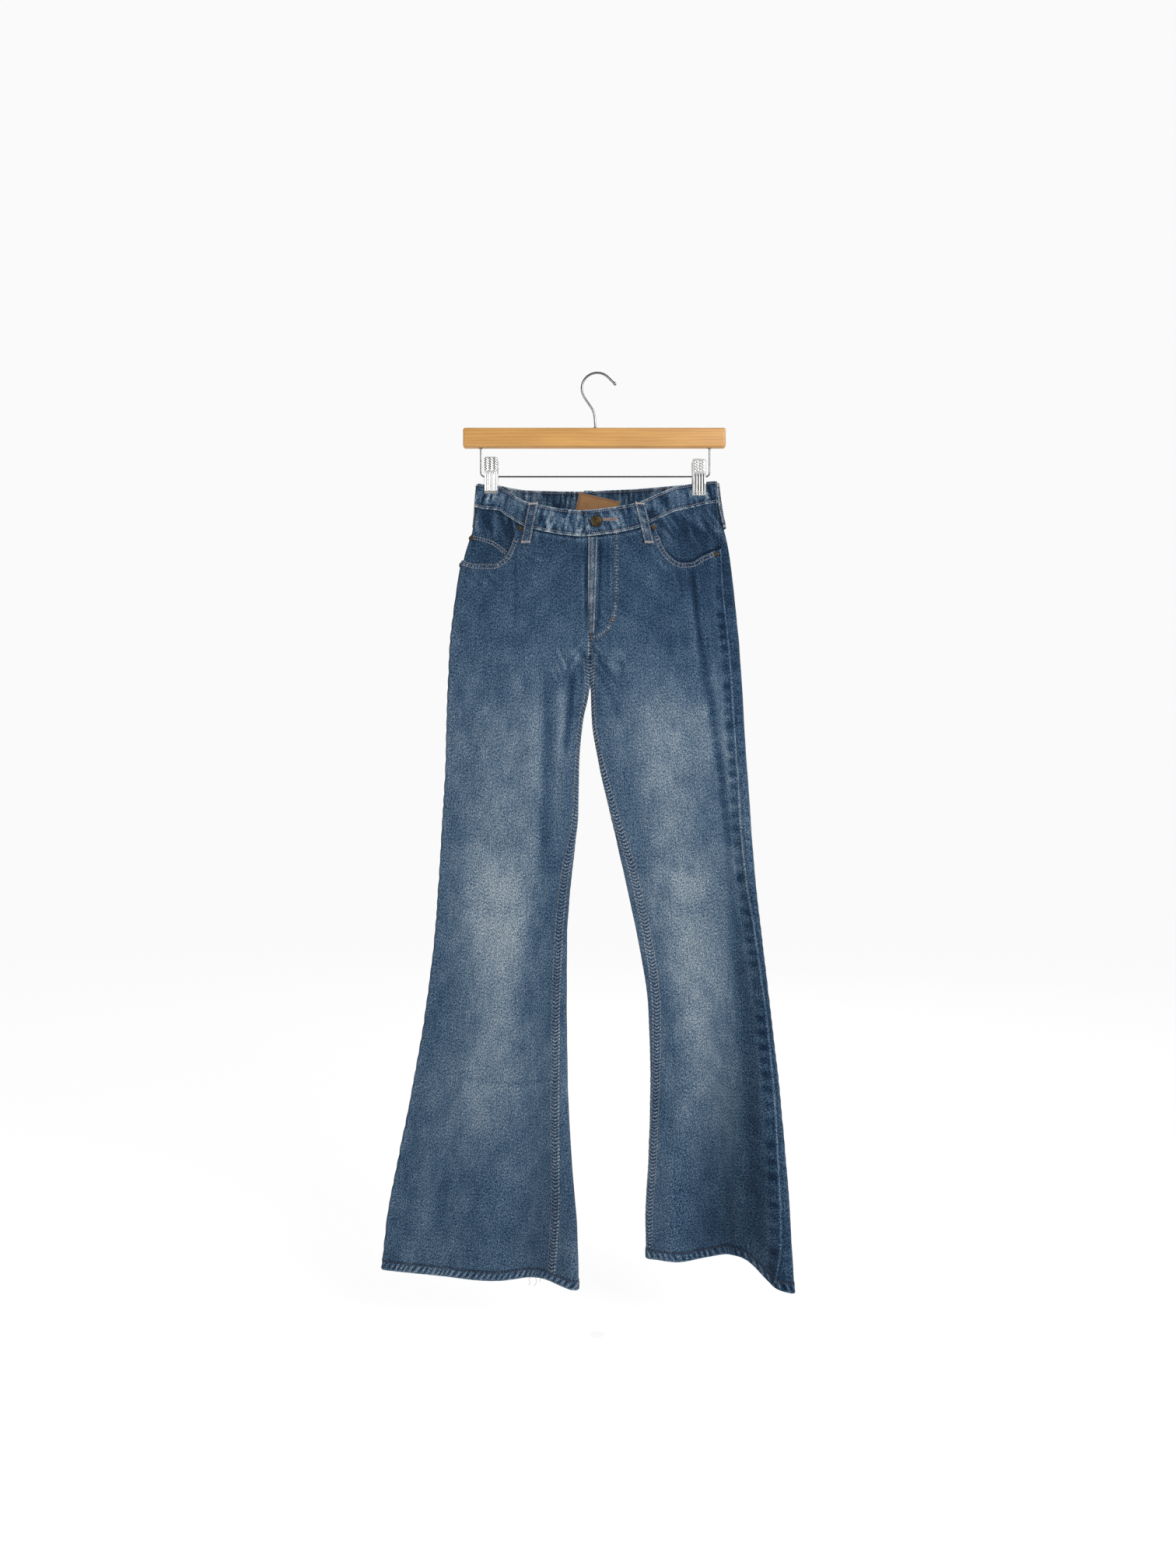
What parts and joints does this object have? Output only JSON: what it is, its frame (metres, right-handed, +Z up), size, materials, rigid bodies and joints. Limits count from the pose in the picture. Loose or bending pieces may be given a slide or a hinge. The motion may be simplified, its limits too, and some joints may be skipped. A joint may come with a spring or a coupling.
{
  "type": "flared jeans on a clip hanger",
  "caption": "Flared five-pocket denim jeans held by two clips on the wire rod of a wooden hanger with a wire hook, hanging flat.",
  "frame": {"origin": "the hang point, on the inside of the top of the hook's bend", "axes": "+Z up, -Y out of the front of the jeans towards the viewer, X along the hanger's bar; the wearer's right leg is at negative X"},
  "size_m": [0.5482, 0.121, 1.2311],
  "materials": {
    "denim": "mid blue cotton twill, stone washed and faded at the thighs and knees, matt",
    "denim_dark": "darker blue cotton twill, matt",
    "denim_light": "worn, lighter blue cotton twill, matt",
    "label": "plain tan leather board, matt",
    "antique_brass": "dark antique brass, dull",
    "wood": "clear varnished pale wood, satin",
    "steel": "bright nickel-plated steel, polished"
  },
  "bodies": {
    "root": {"front_panel_right": "denim", "front_panel_left": "denim", "back_panel_right": "denim", "back_panel_left": "denim", "yoke_right": "denim", "yoke_left": "denim", "waistband": "denim", "hem_right": "denim", "hem_left": "denim", "back_pocket_right": "denim", "back_pocket_left": "denim", "pocket_facing_right": "denim_dark", "pocket_facing_left": "denim_dark", "coin_pocket": "denim_dark", "belt_loop_front_right": "denim_light", "belt_loop_front_left": "denim_light", "belt_loop_side_right": "denim_light", "belt_loop_side_left": "denim_light", "belt_loop_back": "denim_light", "fly_placket": "denim_light", "inner_label": "label", "waist_button": "antique_brass", "rivet_pocket_right": "antique_brass", "rivet_coin_pocket": "antique_brass", "rivet_pocket_left": "antique_brass", "rivet_side_left": "antique_brass", "rivet_side_right": "antique_brass", "hanger_bar": "wood", "hanger_hook": "steel", "hanger_rod": "steel", "clip_right_front": "steel", "clip_right_back": "steel", "clip_right_spring": "steel", "clip_left_front": "steel", "clip_left_back": "steel", "clip_left_spring": "steel"}
  },
  "joints": []
}
